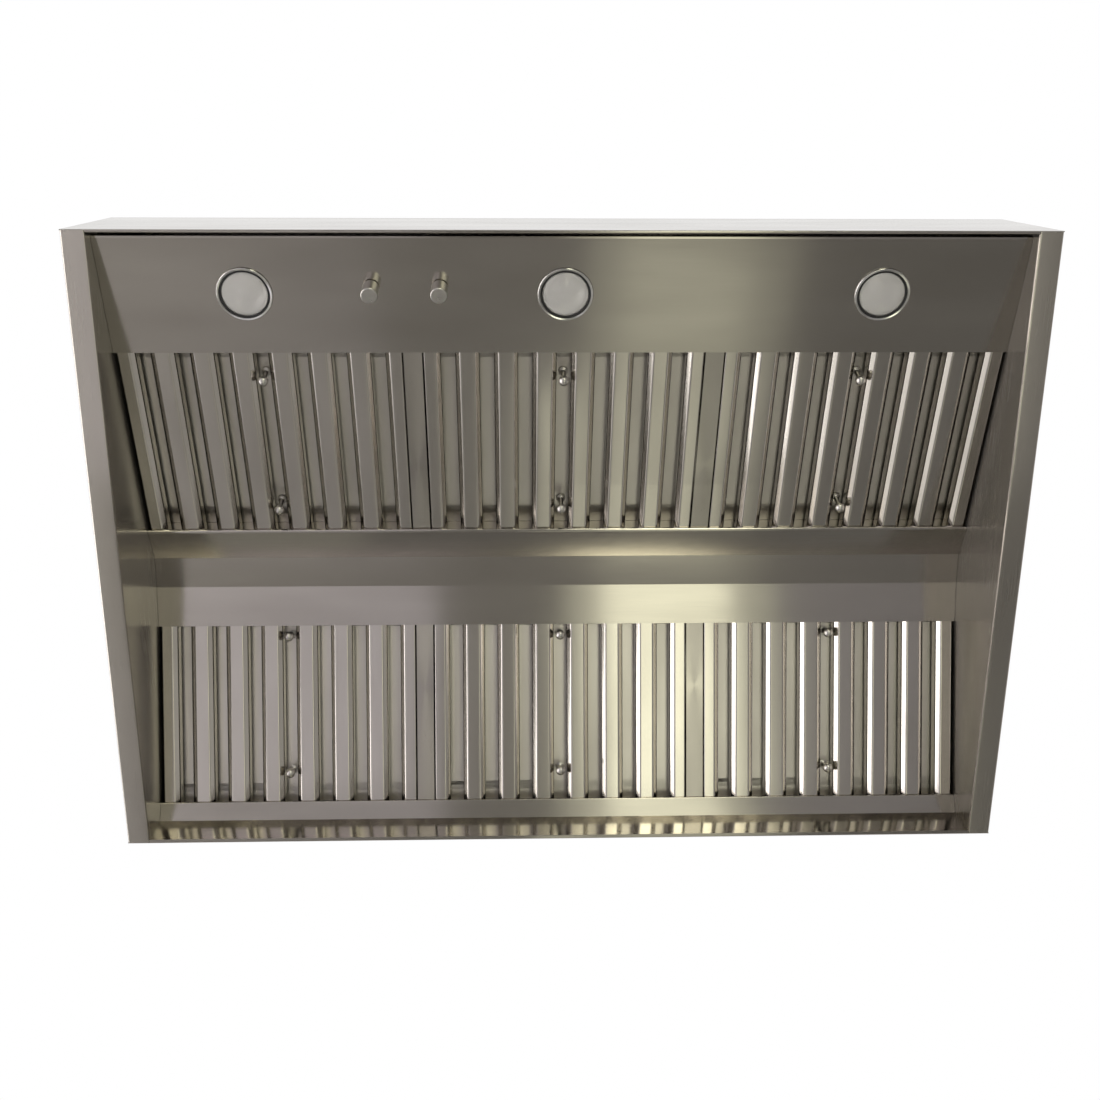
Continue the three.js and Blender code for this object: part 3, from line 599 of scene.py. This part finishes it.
# ---- screws on the deck -----------------------------------------------------------
# Zinc-plated hex-head sheet-metal screws with a pressed washer hold the box. Smaller
# pan heads hold the deck's edges, the collar and the junction box's lid.


def hex_screw(flats, head, washer):
    """A hex head on its washer, seated at z = 0."""
    washer_height = 0.9 * mm
    head_radius = flats / 1.732
    mesh = bmesh.new()
    disc = bmesh.ops.create_cone(mesh, cap_ends=True, segments=20, radius1=washer, radius2=washer * 0.93,
                                 depth=washer_height)["verts"]
    bmesh.ops.translate(mesh, vec=(0, 0, washer_height / 2), verts=disc)
    cap = bmesh.ops.create_cone(mesh, cap_ends=True, segments=6, radius1=head_radius, radius2=head_radius,
                                depth=head)["verts"]
    bmesh.ops.translate(mesh, vec=(0, 0, washer_height + head / 2), verts=cap)
    crown = [edge for edge in mesh.edges if all(vert.co.z > head for vert in edge.verts)]
    bmesh.ops.bevel(mesh, geom=crown, offset=0.6 * mm, segments=2, profile=0.5, affect="EDGES", material=-1)
    return finish_mesh(mesh, "hex_screw")


def pan_screw(radius):
    """A pan head with a round recess, seated at z = 0."""
    height = radius * 0.6
    mesh = bmesh.new()
    bmesh.ops.create_cone(mesh, cap_ends=True, segments=20, radius1=radius, radius2=radius * 0.8,
                          depth=height, matrix=Matrix.Translation((0, 0, height / 2)))
    top = [face for face in mesh.faces if face.normal.z > 0.9]
    bmesh.ops.bevel(mesh, geom=list(top[0].edges), offset=radius * 0.15, segments=3, profile=0.5,
                    affect="EDGES", material=-1)
    top = [face for face in mesh.faces if face.normal.z > 0.99 and len(face.verts) > 8]
    bmesh.ops.inset_individual(mesh, faces=top, thickness=radius * 0.3, depth=0)
    bmesh.ops.inset_individual(mesh, faces=top, thickness=0.01 * mm, depth=-radius * 0.3)
    return finish_mesh(mesh, "pan_screw")


def screw_set(name, data, spots):
    """All of a group's screws as one piece."""
    mesh = bmesh.new()
    for spot in spots:
        one = data.copy()
        one.transform(Matrix.Translation(spot))
        mesh.from_mesh(one)
    joined = bpy.data.meshes.new(name)
    mesh.to_mesh(joined)
    mesh.free()
    joined.set_sharp_from_angle(angle=smooth_below)
    place_piece(name, joined, Matrix(), zinc, "housing")


flange_screw = hex_screw(7 * mm, 3.4 * mm, 5.2 * mm)
small_screw = pan_screw(3.4 * mm)
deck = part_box("top_panel")[1].z
flange_top = deck + shell_sheet
flange_x = box_high.x - box_middle.x - box_flange / 2
flange_y = box_high.y - box_middle.y - box_flange / 2
# the screws' places along each edge, in millimetres from its middle
long_flange = (-165, -55, 55, 165)
short_flange = (-75, 75)
spots = [(box_middle.x + x * mm, box_middle.y + side * flange_y, flange_top)
         for x in long_flange for side in (-1, 1)]
spots += [(box_middle.x + side * flange_x, box_middle.y + y * mm, flange_top)
          for y in short_flange for side in (-1, 1)]
screw_set("blower_box_screws", flange_screw, spots)
deck_low, deck_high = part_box("top_panel")
edge_inset = 10 * mm
long_edge = (-590, -400, -200, 0, 200, 400, 590)
short_edge = (-270, -135, 0, 135, 270)
spots = [(x * mm, y, deck) for x in long_edge for y in (deck_low.y + edge_inset, deck_high.y - edge_inset)]
spots += [(x, y * mm, deck) for y in short_edge for x in (deck_low.x + edge_inset, deck_high.x - edge_inset)]
screw_set("deck_edge_screws", small_screw, spots)

# ---- duct collar ------------------------------------------------------------------
# Spun galvanised collar: a flange screwed to the box, a rolled bead that stiffens
# the spigot, an eased rim, and the damper's polished rod across it.
collar_low, collar_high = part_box("duct_collar")
collar_middle = (collar_low + collar_high) / 2
collar_radius = 127 * mm
collar_height = collar_high.z - collar_low.z
flange_radius = collar_radius + 14 * mm
foot_bend = 2 * mm
bead_height = 40 * mm
bead_radius = 2.2 * mm
bead_hollow = 1 * mm
rim_ease = 0.4 * mm
inner_wall = collar_radius - shell_sheet
profile = [(inner_wall, 0, 0), (flange_radius, 0, 0), (flange_radius, 0, shell_sheet)]
bend_centre = (collar_radius + foot_bend, shell_sheet + foot_bend)
profile += arc(bend_centre, foot_bend, radians(-90), radians(-180), 4)
profile += arc((collar_radius, bead_height), bead_radius, radians(-90), radians(90), 8)
profile += [(collar_radius, 0, collar_height - rim_ease), (collar_radius - rim_ease, 0, collar_height),
            (inner_wall, 0, collar_height)]
profile += [(inner_wall, 0, bead_height + bead_radius), (inner_wall + bead_hollow, 0, bead_height),
            (inner_wall, 0, bead_height - bead_radius)]
collar_mesh = turned("duct_collar", profile, 96, closed=True)
foot = Matrix.Translation((collar_middle.x, collar_middle.y, collar_low.z))
place_piece("spun_duct_collar", collar_mesh, foot, zinc, "housing", ["duct_collar"])
rod_radius = 3 * mm
rod_height = 22 * mm
rod_mesh = bmesh.new()
bmesh.ops.create_cone(rod_mesh, cap_ends=True, segments=20, radius1=rod_radius, radius2=rod_radius,
                      depth=2 * collar_radius - shell_sheet, matrix=Matrix.Rotation(pi / 2, 4, "Y"))
rod_ends = [edge for edge in rod_mesh.edges if len(set(round(vert.co.x, 6) for vert in edge.verts)) == 1]
bmesh.ops.bevel(rod_mesh, geom=rod_ends, offset=0.4 * mm, segments=2, profile=0.5, affect="EDGES",
                material=-1)
rod_place = foot @ Matrix.Translation((0, 0, rod_height))
place_piece("damper_rod", finish_mesh(rod_mesh, "damper_rod"), rod_place, polished, "housing")
screw_circle = collar_radius + 8.6 * mm
screw_angles = [radians(22.5 + 45 * i) for i in range(8)]
spots = [foot @ Vector((screw_circle * cos(a), screw_circle * sin(a), shell_sheet)) for a in screw_angles]
screw_set("collar_screws", small_screw, spots)

# ---- junction box -------------------------------------------------------------------
# A pressed zinc-plated box for the house wiring: eased corners, a lid held by two
# screws, and a knockout slug still in its ring on the back.


def eased_box(node):
    """The pressed box with its outer upright edges rounded."""
    mesh = worked_copy(node)
    low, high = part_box(node)
    touching = 0.01 * mm
    corners = []
    for edge in mesh.edges:
        first, last = edge.verts
        upright = abs(first.co.z - last.co.z) > 5 * mm
        at_side = min(abs(first.co.x - low.x), abs(first.co.x - high.x)) < touching
        at_end = min(abs(first.co.y - low.y), abs(first.co.y - high.y)) < touching
        if upright and at_side and at_end:
            corners.append(edge)
    bmesh.ops.bevel(mesh, geom=corners, offset=2.5 * mm, segments=4, profile=0.5, affect="EDGES", material=-1)
    place_piece(f"{node}_pressing", finish_mesh(mesh, node), Matrix(), zinc, "housing",
                [node])


eased_box("junction_box")
eased_box("junction_box_lid")
lid_low, lid_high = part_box("junction_box_lid")
lid_middle = (lid_low + lid_high) / 2
lid_screw_x = 42 * mm
lid_screw_y = 26 * mm
spots = [(lid_middle.x + side * lid_screw_x, lid_middle.y + side * lid_screw_y, lid_high.z)
         for side in (-1, 1)]
screw_set("junction_lid_screws", small_screw, spots)
slug_outline = section((0, 0), (10.4, 0), (10.4, 0.8), (3, 0.8), (2.4, 0.3), (0, 0.3))
slug_mesh = turned("knockout_slug", slug_outline, 32)
box_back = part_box("junction_box")[1].y
slug_depth = 1.1 * mm
slug_height = 23 * mm
slug_spot = Matrix.Translation((lid_middle.x, box_back - slug_depth, deck + slug_height))
slug_place = slug_spot @ Matrix.Rotation(-pi / 2, 4, "X")
place_piece("knockout_slug", slug_mesh, slug_place, zinc, "housing")

# ---- studio ---------------------------------------------------------------------
# A pale matt floor far below, where the cooker would stand. Soft lamps that lie on
# it and a tall window at the left make the bands of light that the metal mirrors.
# Wide lamps low over the floor round them keep the floor pale in the other views.


def area_lamp(name, place, turn, width, depth, radiance, colour):
    """A soft lamp of that size and radiance, shining along its own -Z; the camera doesn't see it."""
    # a lamp of W watts over A square metres has a radiance of W / 4A
    watts_per_radiance = 4
    data = bpy.data.lights.new(name, "AREA")
    data.shape = "RECTANGLE"
    data.size = width
    data.size_y = depth
    data.energy = watts_per_radiance * radiance * width * depth
    data.color = linear(colour)[:3]
    lamp = bpy.data.objects.new(name, data)
    lamp.location = place
    lamp.rotation_euler = turn
    lamp.visible_camera = False
    bpy.context.scene.collection.objects.link(lamp)


def level_lamp(name, x, y, rise, turn, radiance, colour):
    """A soft level lamp between two x and two y, that far above the floor."""
    place = ((x[0] + x[1]) / 2, (y[0] + y[1]) / 2, floor_depth + rise)
    area_lamp(name, place, turn, x[1] - x[0], y[1] - y[0], radiance, colour)


floor_depth = -1.9
floor_edge = 60
floor_mesh = bmesh.new()
bmesh.ops.create_grid(floor_mesh, x_segments=1, y_segments=1, size=floor_edge,
                      matrix=Matrix.Translation((0, 0, floor_depth)))
floor = bpy.data.objects.new("floor", finish_mesh(floor_mesh, "floor"))
# rolled matt paint, with faint lighter and darker patches as wide as the roller
paint, paint_tree, paint_shader = new_material("matt_floor_paint", "#e6e3dd", 0.0, 0.85)
rolled = pattern(paint_tree, (140 * mm, 140 * mm, 140 * mm), 3.0)
paint_colour = blend_colours(paint_tree, rescale(paint_tree, rolled, 0, 1), "#e8e5df", "#e3e0da")
paint_tree.links.new(paint_colour, paint_shader.inputs["Base Color"])
floor.data.materials.append(paint)
bpy.context.scene.collection.objects.link(floor)

# the washes shine down: name, their two x, their two y and radiance
washes = (
    ("wash_right", (5.4, floor_edge), (-floor_edge, floor_edge), 0.26),
    ("wash_right_near", (2.9, 5.4), (-floor_edge, floor_edge), 0.42),
    ("wash_left", (-floor_edge, -3.5), (-floor_edge, floor_edge), 0.42),
    ("wash_far", (-2.7, 2.9), (9.5, floor_edge), 0.42),
    ("wash_near", (-2.7, 2.9), (-floor_edge, -4), 0.42),
)
wash_rise = 0.6
for name, x, y, radiance in washes:
    level_lamp(name, x, y, wash_rise, (0, 0, 0), radiance, "#ffffff")

# the bands shine up: name, their two x, their two y, radiance and colour
warm = "#fcfde2"
cool = "#f1ebfa"
bands = (
    ("near_band_core", (0.2, 0.59), (-0.6, 0.37), 1.4, warm),
    ("ledge_band_core", (0.24, 0.62), (-1.6, -0.6), 1.15, warm),
    ("near_band", (0.09, 0.73), (-1.6, 0.37), 0.36, warm),
    ("near_left", (-1.45, -0.3), (-0.6, 0.37), 0.3, cool),
    ("ledge_left", (-1.45, -0.3), (-1.6, -0.6), 0.2, cool),
    ("ledge_left_end", (-1.45, -0.6), (-1.6, -0.6), 0.6, cool),
    ("near_right", (0.73, 1.4), (-1.6, 0.37), 0.1, cool),
    ("middle_band", (0.18, 0.68), (0.37, 0.95), 0.07, warm),
    ("far_band_core", (0.28, 0.68), (0.95, 3), 0.4, warm),
    ("far_band", (0.17, 0.82), (0.95, 3), 0.2, warm),
    ("filter_band", (0.0, 0.75), (1.6, 2.8), 0.42, warm),
    ("far_left", (-1.6, -0.5), (0.95, 3), 0.06, cool),
    ("far_left_end", (-1.6, -1.25), (0.95, 3), 0.09, cool),
    ("distant_band", (0.5, 1.2), (3, 9), 0.06, warm),
    ("distant_left", (-1.7, -0.9), (3, 9), 0.1, warm),
    ("behind_cook_core", (0.36, 1.0), (-6.5, -2.2), 5.0, warm),
    ("behind_cook_band", (0.2, 1.1), (-6.5, -2.2), 1.8, warm),
    ("behind_cook_left", (-2.6, -0.4), (-6.5, -2.2), 0.55, cool),
    ("behind_cook_end", (-2.6, -1.5), (-6.5, -2.2), 1.6, cool),
    ("window_floor", (-6, -2.2), (-2.2, 2.4), 0.6, cool),
)
band_rise = 0.02
for name, x, y, radiance, colour in bands:
    level_lamp(name, x, y, band_rise, (pi, 0, 0), radiance, colour)

# the window's panes face the hood: name, place, width, depth and radiance
daylight = "#faf8f6"
window_turn = (0, radians(-98), 0)
panes = (
    ("side_window", (-3.2, -0.25, -0.8), 1.6, 3.5, 3),
    ("side_window_far", (-3.2, 2.5, -0.2), 0.46, 2, 3),
    ("side_window_far_low", (-3.2, 2.5, -0.98), 1.08, 2, 0.45),
)
for name, place, width, depth, radiance in panes:
    area_lamp(name, place, window_turn, width, depth, radiance, daylight)

# the backdrop is white where it is seen, mirrored or seen through glass, and lights the rest softly
world = bpy.data.worlds.new("studio")
bpy.context.scene.world = world
world.use_nodes = True
world_tree = world.node_tree
world_tree.nodes.clear()
ray = add(world_tree, "ShaderNodeLightPath")
seen = add(world_tree, "ShaderNodeMath", {"operation": "MAXIMUM"},
           {0: ray.outputs["Is Camera Ray"], 1: ray.outputs["Is Glossy Ray"]})
seen = add(world_tree, "ShaderNodeMath", {"operation": "MAXIMUM"},
           {0: seen.outputs[0], 1: ray.outputs["Is Transmission Ray"]})
soft_light = add(world_tree, "ShaderNodeBackground", {"Color": linear("#ffffff"), "Strength": 0.14})
white_back = add(world_tree, "ShaderNodeBackground", {"Color": linear("#ffffff"), "Strength": 1.0})
both = add(world_tree, "ShaderNodeMixShader", {},
           {0: seen.outputs[0], 1: soft_light.outputs[0], 2: white_back.outputs[0]})
add(world_tree, "ShaderNodeOutputWorld", {}, {"Surface": both.outputs[0]})
bpy.context.scene.view_settings.view_transform = "Standard"
